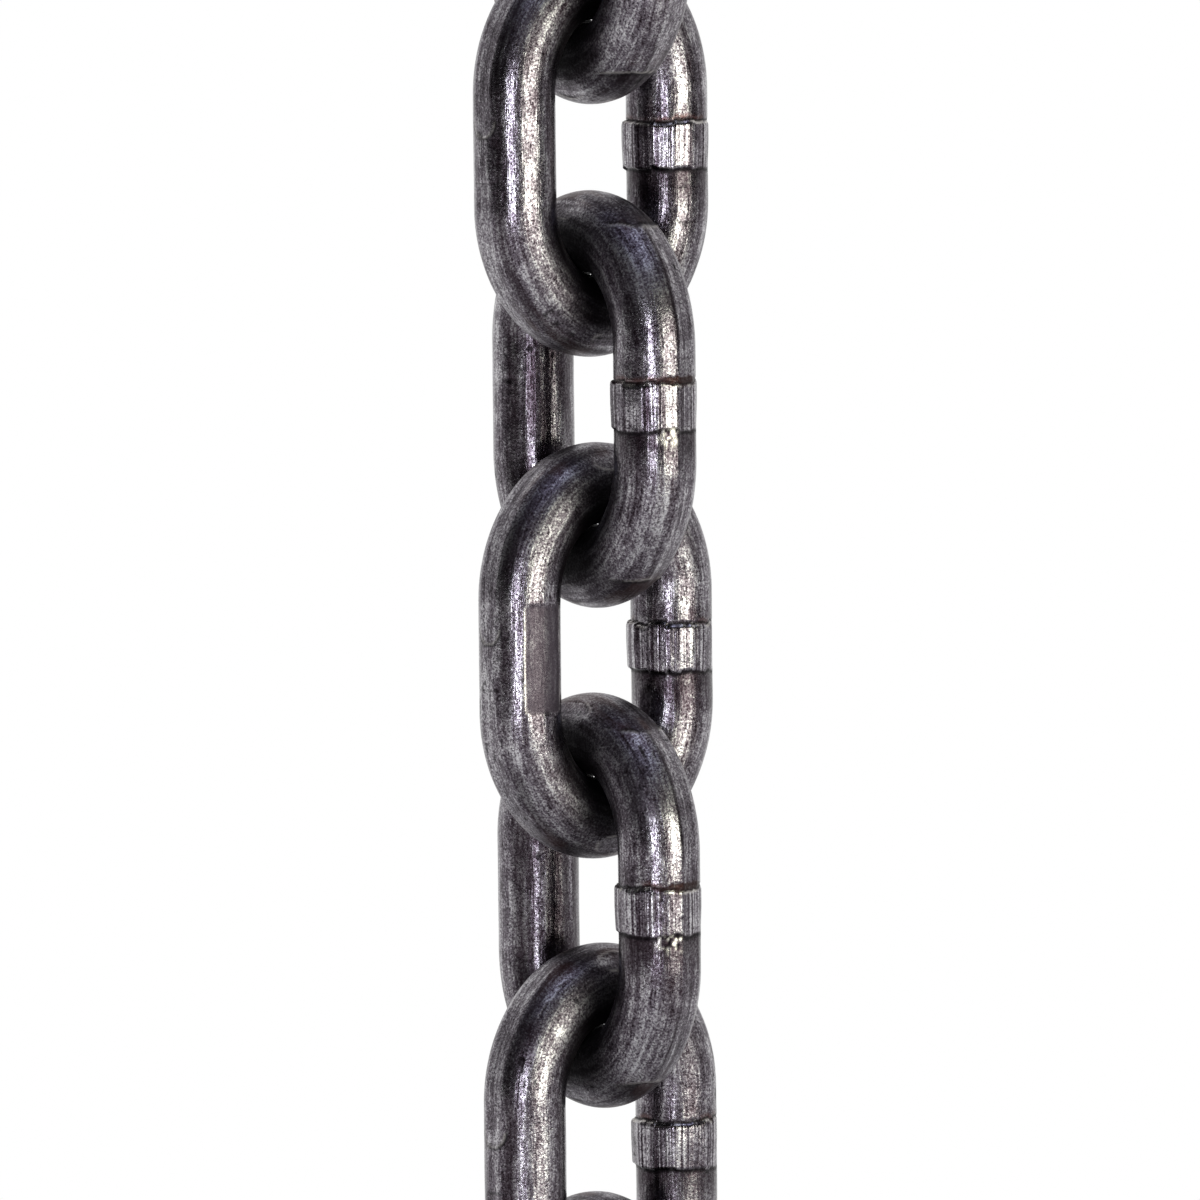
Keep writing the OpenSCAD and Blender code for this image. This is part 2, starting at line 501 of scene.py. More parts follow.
    def sink_crowns(self, skin: Skin, beyond: Array) -> None:
        """Sinks both crowns past the level crease on the weld's side, and leaves a burr along it, with a
        painted highlight on the burr and painted shade past the crease.

        Args:
            skin: The surface being worked.
            beyond: Distance past the level of the crease.
        """
        slip = self.crown_dip * np.clip(skin.bar.outward[:, 0], 0.0, None)
        seat = skin.path.bar_r - skin.bar.shifted(skin.path.bar_r, slip)
        skin.reach -= np.clip(seat, 0.0, None) * rise(beyond, -self.crease_edge, self.crease_edge)
        there = skin.bar.on_weld_side * rise(skin.bar.outward[:, 0], 0.42, 0.6)
        broken = rise(skin.patches(Draw.BURR, 1.6, 1.6), -0.5, 0.3)
        lip = line(beyond + 0.22, 0.26, 0.04) * there * broken
        skin.reach += self.burr * lip
        # Painted highlight on the burr, partly rubbed bright metal, and painted shade along the crease and
        # past it
        skin.mark("worn_and_glint", 0.6 * lip)
        skin.mark("painted_shade", 0.7 * line(beyond - 0.3, 0.5, 0.1) * there * broken)
        skin.mark("heat_tint_and_shade", line(beyond - 1.4, 2.0, 0.6) * there)

    def press_facet(self, skin: Skin, crown: Crown, side: float) -> None:
        """Presses the facet on one side of one crest, with a painted highlight and painted shade along its
        rim.

        Args:
            skin: The surface being worked.
            crown: Upper or lower crown.
            side: 1 for the face towards +Y and -1 for the other.
        """
        tilt = math.radians(self.facet_a)
        normal = np.array([0.0, side * math.sin(tilt), crown.value * math.cos(tilt)])
        crest = np.array([0.0, 0.0, crown.value * skin.path.crest_z])
        look = skin.bar.around @ normal
        there = (skin.bar.centre[:, 2] * crown.value > skin.path.half_leg) & (look > self.facing)
        deep = skin.path.bar_r - self.facet_dip - (skin.bar.centre - crest) @ normal
        level = np.where(there, plane_reach(deep, look, self.facing), UNTOUCHED)
        level += self.facet_waver * skin.patches(Draw.FACET_LEVEL, 1.8, 1.8)
        over = skin.reach - level
        skin.mark("pressed", skin.cut(level, there.astype(float), self.facet_rim))
        # Bright rim, partly rubbed metal and partly painted highlight, with painted shade just outside it
        broken = rise(skin.patches(Draw.FACET_RIM, 1.8, 1.8), -0.1, 0.6) * there
        skin.mark("worn_and_glint", 0.4 * line(over - 0.02, 0.07, 0.02) * broken)
        skin.mark("painted_shade", 0.45 * line(over - 0.14, 0.1, 0.03) * broken)

    def shade(self, skin: Skin) -> None:
        """Paints shade in the sheltered places and tints the crests' outermost line.

        The crowns' insides, where the links cross, and the plain leg's inner side, which the front links hide
        from the lamps, get painted shade.

        Args:
            skin: The surface being worked.
        """
        inward, along = -np.cos(skin.bar.angle), np.abs(skin.bar.from_crest)
        # Painted shade inside the crowns, where the neighbouring links cross
        skin.mark("painted_shade", 0.95 * rise(inward, -0.25, 0.4) * rise(along, 18.0, 8.0))
        skin.mark("painted_shade", 0.92 * rise(inward, -0.8, -0.05) * rise(along, 13.0, 6.0))
        outermost = rise(-inward, 0.6, 0.95) * rise(along, 15.0, 6.0)
        skin.mark("tinted", 0.6 * outermost * rise(skin.patches(Draw.CREST_TINT, 1.6, 3.2), 0.0, 0.5))
        # Painted shade on the plain leg's inner side
        shaded_side = rise(skin.patches(Draw.SHADED_PLAIN_SIDE, 1.0, 14.0), -1.0, 0.1) * (1.0 - skin.bar.on_weld_side)
        skin.mark("heat_tint_and_shade", 0.95 * rise(inward, -0.1, 0.5) * shaded_side)


class Strokes(NamedTuple):
    """The trimming strokes round a weld band, read at each place.

    bow is 1 in the middle of a stroke and 0 at its sides, value and other are random and the same all over
    one, chord is how far its middle lies under the round in mm, and draws holds every stroke's value.
    """

    bow: Array
    value: Array
    other: Array
    chord: Array
    draws: Array


@dataclass(frozen=True)
class WeldBand:
    """Upset metal of the flash weld, trimmed in strokes along the bar, in mm and degrees.

    The wedge over it is where the trimming tool entered, and the tear under it where the tool left.
    """

    length: float = 8.0
    proud: float = 0.42
    shift: float = 0.4
    strokes: int = 23
    narrowest: float = 0.35
    flatness: float = 0.8
    dip: float = 0.05
    lines: float = 0.04
    taper: float = 0.16
    top_round: float = 0.2
    ragged: float = 0.5
    bowed: float = 0.25
    groove: float = 0.08
    wedge: float = 1.7
    wedge_dip: float = 0.07
    wedge_a: float = 8.0
    tear_a: float = -24.0
    tear_dip: float = 0.10

    def work(self, skin: Skin) -> None:
        """Builds the band up on the weld leg, marks its trimmed and heat-tinted metal, and paints shade in
        its groove, in the wedge and under its lower edge, and a highlight along its top lip.

        Args:
            skin: The surface being worked.
        """
        t, strokes = skin.bar.from_weld, self.strokes_round(skin)
        near = np.abs(t) < self.length
        wedge = self.wedge * self.round_from(skin, self.wedge_a, 6.6, 1.8) * (0.6 + 0.4 * strokes.draws[0])
        top = self.length / 2 - self.ragged * strokes.value - self.bowed * strokes.bow * strokes.other
        top += 0.12 * skin.patches(Draw.BAND_TOP, 0.9, 30.0) - 0.35 * wedge
        bottom = -self.length / 2 + self.ragged * strokes.other
        bottom += 0.16 * skin.patches(Draw.BAND_BOTTOM, 1.4, 30.0)
        bottom += 0.7 * self.round_from(skin, self.tear_a, 3.2, 1.2) * (0.3 + 0.7 * strokes.draws[1])
        level = skin.bar.shifted(skin.path.bar_r + self.proud, self.shift)
        level -= (strokes.chord + self.dip * (0.4 + 0.6 * strokes.value)) * strokes.bow
        level -= self.lines * skin.depths(Draw.BAND_LINES, 0.6, 14.0)
        level -= self.taper * rise(t, 1.0, -self.length / 2) + self.top_round * rise(t, top - 0.8, top) ** 2
        inside = rise(t, top + 0.06, top - 0.10) * rise(t, bottom - 0.25, bottom + 0.3) * near
        skin.reach += np.clip(level - skin.reach, 0.0, None) * inside
        groove = line(t - top - 0.28, 0.34, 0.05) * near
        skin.reach -= self.groove * groove
        cut = rise(t, top + wedge + 0.1, top + wedge - 0.15) * rise(t, top, top + 0.15) * (wedge > 0.15)
        skin.reach -= self.wedge_dip * cut
        fringe = line(t - top - 0.5, 0.9, 0.2) * near * rise(skin.patches(Draw.FRINGE, 3.0, 30.0), -0.4, 0.3)
        lip = line(t - top + 0.12, 0.28, 0.06) * near
        above, below = rise(t, 9.0, 4.5) * (t > 0), rise(t, -14.0, -4.5) * (t < 0)
        skin.mark("trimmed", inside)
        # Painted shade in the groove over the band and in the tool's wedge, and a painted shadow under its
        # lower edge
        skin.mark("painted_shade", np.maximum(0.95 * groove, 0.62 * cut))
        skin.mark("painted_shade", 0.8 * line(t - bottom + 0.3, 0.55, 0.1) * near)
        skin.mark("tinted", np.maximum(cut, 0.8 * fringe))
        # Painted highlight along the band's top lip
        skin.mark("worn_and_glint", 0.9 * lip * rise(skin.patches(Draw.BAND_LIP, 0.8, 20.0), -0.5, 0.6))
        skin.mark("heat_tint_and_shade", np.clip(0.45 * above + 1.0 * below, 0.0, 1.0) * (1 - inside))
        self.tear(skin, bottom)

    def round_from(self, skin: Skin, middle: float, far: float, near: float) -> Array:
        """Share of a patch round the bar, from 1 within near mm of an angle to 0 past far mm."""
        off = (skin.bar.angle - math.radians(middle) + math.pi) % (2 * math.pi) - math.pi
        return line(skin.path.bar_r * off, far, near)

    def strokes_round(self, skin: Skin) -> Strokes:
        """Splits the band's round into strokes of unequal width, each nearly flat across.

        Args:
            skin: The surface being worked.

        Returns:
            The strokes.
        """
        rng = np.random.default_rng(skin.seed * SEED_STEP + Draw.STROKES)
        widths = rng.uniform(self.narrowest, 1.0, self.strokes) ** 2
        ends = np.concatenate([[0.0], np.cumsum(widths) / widths.sum()])
        turn = skin.bar.angle / (2 * math.pi) % 1.0
        index = np.clip(np.searchsorted(ends, turn, side="right") - 1, 0, self.strokes - 1)
        share = (turn - ends[index]) / (ends[index + 1] - ends[index])
        chord = self.flatness * (2 * math.pi) ** 2 * (widths / widths.sum()) ** 2 * skin.path.bar_r / 8
        draws = rng.uniform(0.0, 1.0, self.strokes)
        return Strokes(share * (1 - share) * 4, draws[index], draws[::-1][index], chord[index], draws)

    def tear(self, skin: Skin, bottom: Array) -> None:
        """Digs the small torn pits that the trimming leaves under the band, with bright metal round them and
        painted shade in them.

        Args:
            skin: The surface being worked.
            bottom: Lower edge of the band at each place.
        """
        t = skin.bar.from_weld
        zone = rise(t, bottom - 3.6, bottom - 1.4) * rise(t, bottom + 0.1, bottom - 0.5)
        zone = zone * self.round_from(skin, self.tear_a, 3.0, 1.2)
        torn = rise(skin.patches(Draw.TORN, 0.7, 0.9), 0.1, 0.5) * zone
        skin.reach -= self.tear_dip * torn
        skin.mark("worn_and_glint", zone * rise(skin.patches(Draw.TORN_EDGE, 0.45, 0.7), 0.0, 0.5) * (1 - torn))
        # Painted shade in the torn pits
        skin.mark("painted_shade", torn)


@dataclass(frozen=True)
class PressedPanel:
    """The bare pressed panel on one face of the middle link, in mm."""

    height: float = 17.0
    width: float = 7.1
    turn: float = -92.5
    depth: float = 0.12
    corner: float = 0.8

    def work(self, skin: Skin) -> None:
        """Presses the panel into the plain leg, with a painted highlight along its long sides.

        Args:
            skin: The surface being worked.
        """
        off = skin.bar.angle - math.radians(self.turn)
        across = np.where(np.cos(off) > 0, skin.path.bar_r * np.abs(np.sin(off)), UNTOUCHED)
        dx = across - self.width / 2 + self.corner
        dz = np.abs(skin.bar.from_plain) - self.height / 2 + self.corner
        outside = np.hypot(np.clip(dx, 0, None), np.clip(dz, 0, None)) + np.minimum(np.maximum(dx, dz), 0.0)
        gap = outside - self.corner
        skin.reach -= self.depth * rise(gap, 0.08, -0.12)
        skin.mark("panel", rise(gap, 0.05, -0.1))
        # Painted highlight along the panel's long sides, partly rubbed metal
        sides = rise(dx - dz, -0.6, 0.4) * rise(skin.patches(Draw.PANEL_SIDES, 30.0, 2.5), -0.9, 0.1)
        skin.mark("worn_and_glint", 0.4 * line(gap - 0.1, 0.24, 0.05) * sides)


Feature = RolledBar | DieMarks | WeldBand | PressedPanel


@dataclass
class LinkBlank:
    """The closed ring of bar that every link starts from, drawn once in the link's own frame, in mm."""

    path: BarPath = field(default_factory=BarPath)
    segments: int = 160
    leg_step: float = 0.32
    weld_step: float = 0.2
    weld_reach: float = 6.4
    crown_step: float = 0.31
    join: float = 0.01

    def build(self) -> bpy.types.Mesh:
        """Draws the bar out along its path.

        Returns:
            The mesh of the blank, with quads all round and along it.
        """
        bm = bmesh.new()
        path = self.path
        bmesh.ops.create_circle(bm, cap_ends=False, radius=path.bar_r, segments=self.segments)
        bmesh.ops.translate(bm, vec=(path.leg_x, 0.0, -path.half_leg), verts=bm.verts)
        ring = list(bm.edges)
        plain = path.half_leg - self.weld_reach
        legs, weld = (plain, self.leg_step), (2 * self.weld_reach, self.weld_step)
        for run, step in (legs, weld, legs):
            ring = self.draw_out(bm, ring, run, step)
        ring = self.bend_over(bm, ring, Crown.UPPER)
        ring = self.draw_out(bm, ring, -2 * path.half_leg, self.leg_step)
        self.bend_over(bm, ring, Crown.LOWER)
        bmesh.ops.remove_doubles(bm, verts=bm.verts, dist=self.join)
        bmesh.ops.recalc_face_normals(bm, faces=bm.faces)
        mesh = bpy.data.meshes.new("link_blank")
        bm.to_mesh(mesh)
        bm.free()
        return mesh

    def draw_out(self, bm: bmesh.types.BMesh, ring: list, run: float, step: float) -> list:
        """Extrudes a ring of edges along Z and divides the new wall.

        Args:
            bm: The mesh being built.
            ring: Edges of the open end.
            run: Distance to go, downwards if negative.
            step: Largest spacing of the new rings.

        Returns:
            Edges of the new open end.
        """
        out = bmesh.ops.extrude_edge_only(bm, edges=ring)["geom"]
        verts = [g for g in out if isinstance(g, bmesh.types.BMVert)]
        end = [g for g in out if isinstance(g, bmesh.types.BMEdge)]
        bmesh.ops.translate(bm, vec=(0.0, 0.0, run), verts=verts)
        fresh = set(verts)
        end = [e for e in end if e.verts[0] in fresh and e.verts[1] in fresh]
        rails = [e for v in verts for e in v.link_edges if e.other_vert(v) not in fresh]
        cuts = max(1, math.ceil(abs(run) / step) - 1)
        bmesh.ops.subdivide_edges(bm, edges=rails, cuts=cuts, use_grid_fill=False)
        return end

    def bend_over(self, bm: bmesh.types.BMesh, ring: list, crown: Crown) -> list:
        """Spins a ring of edges over a shoulder, the crest and the other shoulder.

        Args:
            bm: The mesh being built.
            ring: Edges of the open end.
            crown: Upper or lower crown.

        Returns:
            Edges of the new open end.
        """
        path, sign = self.path, crown.value
        shoulder_x = sign * (path.leg_x - path.shoulder_r)
        crest_base = sign * (path.crest_z - path.crest_r)
        for x, z, r, turn in (
            (shoulder_x, sign * path.half_leg, path.shoulder_r, path.shoulder_a),
            (0.0, crest_base, path.crest_r, 2 * path.shoulder_a),
            (-shoulder_x, sign * path.half_leg, path.shoulder_r, path.shoulder_a),
        ):
            ring = bmesh.ops.spin(
                bm,
                geom=[*dict.fromkeys(v for e in ring for v in e.verts), *ring],
                cent=(x, 0.0, z),
                axis=(0.0, -1.0, 0.0),
                dvec=(0.0, 0.0, 0.0),
                angle=turn,
                steps=math.ceil(turn * r / self.crown_step),
                use_duplicate=False,
            )["geom_last"]
            ring = [g for g in ring if isinstance(g, bmesh.types.BMEdge)]
        return ring


def add_node(tree: bpy.types.NodeTree, kind: str, inputs: dict | None = None, **settings: object) -> Node:
    """Adds a node with its settings, values and links.

    Args:
        tree: The tree to add to.
        kind: Blender's name for the node.
        inputs: A value or a socket for each input.
        settings: Settings of the node itself.

    Returns:
        The new node.
    """
    node = tree.nodes.new(kind)
    for key, value in settings.items():
        setattr(node, key, value)
    for key, value in (inputs or {}).items():
        if isinstance(value, Socket):
            tree.links.new(value, node.inputs[key])
        else:
            node.inputs[key].default_value = value
    return node


def cleared(owner: bpy.types.Material | bpy.types.World) -> Adder:
    """Empties the node tree of a material or world.

    Args:
        owner: What the tree belongs to.

    Returns:
        add_node, bound to that tree.
    """
    owner.use_nodes = True
    owner.node_tree.nodes.clear()
    return partial(add_node, owner.node_tree)


@dataclass(frozen=True)
class TemperedSteel:
    """Quenched and tempered alloy steel, oiled: dark purplish scale with fine grit and brighter streaks.

    The bar was hot rolled, bent hot, flash welded, trimmed, then heat treated and oiled. The scale's grit
    breaks each highlight into specks, rolling leaves streaks along the legs, and the weld's heat darkens the
    metal by it. Some marks paint shade into hollows, creases and sheltered places, and highlights along
    edges.
    Sizes are in mm, across the bar and along it where there are two.
    """

    name: str = "tempered_alloy_steel"
    scale_dark: str = "#2c2329"
    scale_mid: str = "#6a636b"
    drawn_bright: str = "#c4c2c5"
    # Heat tint by the weld, and painted shade on the plain leg and past the creases
    heat_and_shade_dark: str = "#281f24"
    heat_tint: str = "#4a2b20"
    # Painted shade in hollows, creases and the crowns' insides
    painted_shade: str = "#0b080a"
    # Bare bright metal, and painted highlights along edges and lips
    worn_and_glint: str = "#c9c5c0"
    panel: str = "#4a424a"
    streak_mm: tuple[float, float] = (0.5, 5.0)
    sweep_mm: tuple[float, float] = (1.5, 15.0)
    line_mm: tuple[float, float] = (0.42, 100 / 3)
    grit_mm: float = 0.36
    pit_mm: float = 0.30
    cloud_mm: float = 3.2
    pit_edge: tuple[float, float] = (0.57, 0.67)
    tone_stops: tuple[float, float, float] = (0.41, 0.5, 0.605)
    tone_span: tuple[float, float] = (0.38, 0.62)
    roughness: tuple[float, float] = (0.24, 0.15)
    line_bump: float = 0.08

    def make(self) -> bpy.types.Material:
        """Builds the material.

        Returns:
            The finished material.
        """
        material = bpy.data.materials.new(self.name)
        add = cleared(material)
        marks = {name: add("ShaderNodeAttribute", attribute_name=name).outputs["Fac"] for name in MARKS}
        noise = self.patterns(add)
        marks["pits"] = noise["pits"]
        scale = self.mixed(add, noise, {"grit": 0.36, "clouds": 0.20, "streaks": 0.20, "sweeps": 0.24})
        trim = self.mixed(add, noise, {"lines": 0.5, "grit": 0.3, "clouds": 0.2})
        tones = {0: marks["trimmed"], 2: scale, 3: trim}
        tone = add("ShaderNodeMix", tones, data_type="FLOAT").outputs[0]
        wired = {
            "Base Color": self.coloured(add, tone, marks),
            "Metallic": 1.0,
            "Roughness": self.roughened(add, tone, marks),
            "Normal": self.bumped(add, noise, marks["trimmed"]),
        }
        skin = add("ShaderNodeBsdfPrincipled", wired)
        add("ShaderNodeOutputMaterial", {"Surface": skin.outputs[0]})
        return material

    def patterns(self, add: Adder) -> dict[str, Socket]:
        """Adds the noises: those drawn out along the bar's grain, and those that are even in space.

        Args:
            add: Adds a node.

        Returns:
            The value of each noise by its name.
        """
        grain = add("ShaderNodeAttribute", attribute_name="bar_grain").outputs["Vector"]
        place = add("ShaderNodeTexCoord").outputs["Object"]
        found = {}
        for name, size, detail, rough in (
            ("streaks", self.streak_mm, 3.0, 0.6),
            ("lines", self.line_mm, 2.0, 0.6),
            ("sweeps", self.sweep_mm, 3.0, 0.55),
            ("grit", self.grit_mm, 2.0, 0.7),
            ("clouds", self.cloud_mm, 4.0, 0.65),
            ("pits", self.pit_mm, 1.0, 0.5),
        ):
            if isinstance(size, tuple):
                stretch = {"Vector": grain, "Scale": (1.0 / size[0], 1.0 / size[0], 1.0 / size[1])}
                vector, scale = add("ShaderNodeMapping", stretch).outputs[0], 1.0
            else:
                vector, scale = place, 1.0 / (size * MM)
            wired = {"Vector": vector, "Scale": scale, "Detail": detail, "Roughness": rough}
            found[name] = add("ShaderNodeTexNoise", wired).outputs["Fac"]
        edge = {"Value": found["pits"], "From Min": self.pit_edge[0], "From Max": self.pit_edge[1]}
        found["pits"] = add("ShaderNodeMapRange", edge, interpolation_type="SMOOTHSTEP").outputs[0]
        return found

    def mixed(self, add: Adder, noise: dict, shares: dict) -> Socket:
        """Adds up noises by their shares.

        Args:
            add: Adds a node.
            noise: The noises by their names.
            shares: Share of each noise by its name.

        Returns:
            The sum.
        """
        total: Socket | float = 0.0
        for name, share in shares.items():
            wired = {0: noise[name], 1: share, 2: total}
            total = add("ShaderNodeMath", wired, operation="MULTIPLY_ADD").outputs[0]
        return total

    def coloured(self, add: Adder, tone: Socket, marks: dict) -> Socket:
        """Turns the tone to the scale's colours and lays each mark's colour over them.

        Args:
            add: Adds a node.
            tone: The mixed noises.
            marks: The marks by their names.

        Returns:
            The colour.
        """
        ramp = add("ShaderNodeValToRGB", {"Fac": tone})
        stops = ramp.color_ramp.elements
        stops[0].position, stops[0].color = self.tone_stops[0], linear(self.scale_dark)
        stops[1].position, stops[1].color = self.tone_stops[2], linear(self.drawn_bright)
        stops.new(self.tone_stops[1]).color = linear(self.scale_mid)
        colour = ramp.outputs["Color"]
        # Pits and the shade mark paint shade into hollows and creases; the heat mark is heat tint by the weld
        # and painted shade elsewhere; the bright mark is rubbed metal and painted highlight on edges and lips
        for name, hex_colour, amount in (
            ("pits", self.painted_shade, 0.70),
            ("pressed", self.drawn_bright, 0.04),
            ("heat_tint_and_shade", self.heat_and_shade_dark, 0.78),
            ("tinted", self.heat_tint, 0.6),
            ("painted_shade", self.painted_shade, 0.96),
            ("panel", self.panel, 0.78),
            ("worn_and_glint", self.worn_and_glint, 0.85),
        ):
            share = add("ShaderNodeMath", {0: marks[name], 1: amount}, operation="MULTIPLY").outputs[0]
            laid = {0: share, 6: colour, 7: linear(hex_colour)}
            colour = add("ShaderNodeMix", laid, data_type="RGBA").outputs[2]
        return colour

    def roughened(self, add: Adder, tone: Socket, marks: dict) -> Socket:
        """Makes bright steel glossier than scale, and the panel, the painted shade and the bent crowns
        duller.

        Args:
            add: Adds a node.
            tone: The mixed noises.
            marks: The marks by their names.

        Returns:
            The roughness.
        """
        (dark, bright), (dull, glossy) = self.tone_span, self.roughness
        span = {"Value": tone, "From Min": dark, "From Max": bright, "To Min": dull, "To Max": glossy}
        rough = add("ShaderNodeMapRange", span).outputs[0]
        for name, amount in (("panel", 0.25), ("painted_shade", 0.3), ("bent", 0.21)):
            wired = {0: marks[name], 1: amount, 2: rough}
            rough = add("ShaderNodeMath", wired, operation="MULTIPLY_ADD").outputs[0]
        return rough

    def bumped(self, add: Adder, noise: dict, trimmed: Socket) -> Socket:
        """Stacks a bump for each noise, the pits turned inwards and the tool's lines only on trimmed metal.

        Args:
            add: Adds a node.
            noise: The noises by their names.
            trimmed: The mark of trimmed metal.

        Returns:
            The normal.
        """
        depths = (("clouds", 0.09), ("sweeps", 0.08), ("streaks", 0.05), ("grit", 0.016), ("pits", 0.012))
        wired: dict[str, object] = {}
        for name, distance in (*depths, ("lines", self.line_bump)):
            strength = trimmed if name == "lines" else 1.0
            wired |= {"Height": noise[name], "Strength": strength, "Distance": distance * MM}
            wired["Normal"] = add("ShaderNodeBump", wired, invert=name == "pits").outputs[0]
        return wired["Normal"]


@dataclass
class ChainLink:
    """One welded link: a ring of bar with its weld band and the marks of its making."""

    number: int
    path: BarPath
    features: list[Feature]
    hang: float = -20.0
    pitch: float = 39.7
    seam_off: float = 4.0
    grain_step: float = 61.0
    margin: float = 0.012
    tile: tuple[float, float] = (0.47, 0.465)

    @property
    def name(self) -> str:
        """Name of the CAD node that this link stands for."""
        return f"link_{self.number}"

    @property
    def stand(self) -> Stand:
        """Neighbouring links stand at right angles."""
        return Stand.FACE_TO_Y if self.number % 2 == 1 else Stand.FACE_TO_X

    def build(self, blank: bpy.types.Mesh, steel: bpy.types.Material) -> bpy.types.Object:
        """Works the blank into this link, in its place in the run.

        Args:
            blank: The shared blank.
            steel: The link's material.

        Returns:
            The finished link.
        """
        mesh = blank.copy()
        mesh.name = self.name
        count = len(mesh.vertices)
        points = np.empty(count * 3)
        mesh.vertices.foreach_get("co", points)
        bar = self.path.read(points.reshape(-1, 3))
        skin = Skin(self.path, bar, self.number, np.full(count, self.path.bar_r))
        for feature in self.features:
            feature.work(skin)
        worked = bar.centre + bar.around * skin.reach[:, None]
        turn = Matrix.Rotation(math.radians(self.stand.value), 3, "Z")
        worked = worked @ np.array(turn).T
        worked[:, 2] += self.hang - (self.number - 1) * self.pitch
        mesh.vertices.foreach_set("co", (worked * MM).ravel())
        for name in MARKS:
            share = skin.marks.get(name, np.zeros(count))
            mesh.attributes.new(name, "FLOAT", "POINT").data.foreach_set("value", np.clip(share, 0, 1))
        self.unroll(mesh, bar)
        mesh.shade_smooth()
        mesh.materials.append(steel)
        mesh.update()
        link = bpy.data.objects.new(f"{self.name}_forged", mesh)
        bpy.context.collection.objects.link(link)
        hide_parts(self.name)
        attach(link, self.name)
        return link

    def unroll(self, mesh: bpy.types.Mesh, bar: BarPoints) -> None:
        """Writes the grain coordinates and the bake map, both unrolled along the bar.

        The bake map cuts the bar in four strips of equal length, starting seam_off mm past the weld's middle,
        and lays them two by two. Each link's grain starts grain_step mm further on, so that no two are alike.

        Args:
            mesh: The link's mesh.
            bar: Places of its vertices on the bar.
        """
        corners = np.empty(len(mesh.loops), dtype=np.int32)
        mesh.loops.foreach_get("vertex_index", corners)
        quads = corners.reshape(-1, 4)
        angle, along = bar.angle[quads], ((bar.path - self.seam_off) % bar.length)[quads]
        split = (angle.max(1) - angle.min(1) > math.pi)[:, None]
        angle = np.where(split & (angle < 0), angle + 2 * math.pi, angle)
        split = (along.max(1) - along.min(1) > bar.length / 2)[:, None]
        along = np.where(split & (along < bar.length / 2), along + bar.length, along)
        r, offset = self.path.bar_r, self.grain_step * self.number
        grain = np.stack([r * np.cos(angle) + offset, r * np.sin(angle), along], axis=2)
        layer = mesh.attributes.new("bar_grain", "FLOAT_VECTOR", "CORNER")
        layer.data.foreach_set("vector", grain.ravel())
        strip = bar.length / 4
        row = np.clip(np.floor(along.min(1) / strip), 0, 3)[:, None]
        wide, tall = self.tile
        u = (self.margin + (angle + math.pi) / (2 * math.pi) * wide) + (row % 2) / 2
        v = (self.margin + (along - row * strip) / strip * tall) + np.floor(row / 2) / 2
        uv = mesh.uv_layers.new(name="OFBake")
        uv.data.foreach_set("uv", np.stack([u, v], axis=2).ravel())


@dataclass
class SlingChain:
    """The whole run of links."""

    links: int = 9
    panel_link: int = 5
    path: BarPath = field(default_factory=BarPath)

    def build(self) -> None:
        """Builds every link, from the top down."""
        steel = TemperedSteel().make()
        blank = LinkBlank(self.path).build()
        for number in range(1, self.links + 1):
            features: list[Feature] = [RolledBar(), WeldBand(), DieMarks()]
            if number == self.panel_link:
                features.append(PressedPanel())
            link = ChainLink(number, self.path, features).build(blank, steel)
            log.info("%s: %d faces", link.name, len(link.data.polygons))
        bpy.data.meshes.remove(blank)


@dataclass(frozen=True)
class Softbox:
    """A studio lamp, placed by its bearing from the camera in degrees as seen from the chain, in metres."""

    name: str
    bearing: float
    height: float
    distance: float
    wide: float
    tall: float
    glow: float
    colour: str
    watts: float = 4.0

    def build(self, towards_camera: Vector, aim: Vector) -> None:
        """Makes the lamp.

        Args:
            towards_camera: Level direction from the chain to the camera.
            aim: The point it lights.
        """
        lamp = bpy.data.lights.new(self.name, "AREA")
        lamp.shape = "RECTANGLE"
        lamp.size, lamp.size_y = self.wide, self.tall
        lamp.energy = self.watts * self.glow * self.wide * self.tall
        lamp.color = linear(self.colour)[:3]
        holder = bpy.data.objects.new(self.name, lamp)
        bearing = Matrix.Rotation(math.radians(self.bearing), 3, "Z") @ towards_camera
        holder.location = aim + bearing * self.distance + Vector((0.0, 0.0, self.height))
        holder.rotation_euler = (aim - holder.location).to_track_quat("-Z", "Y").to_euler()
        holder.visible_camera = False
        bpy.context.collection.objects.link(holder)


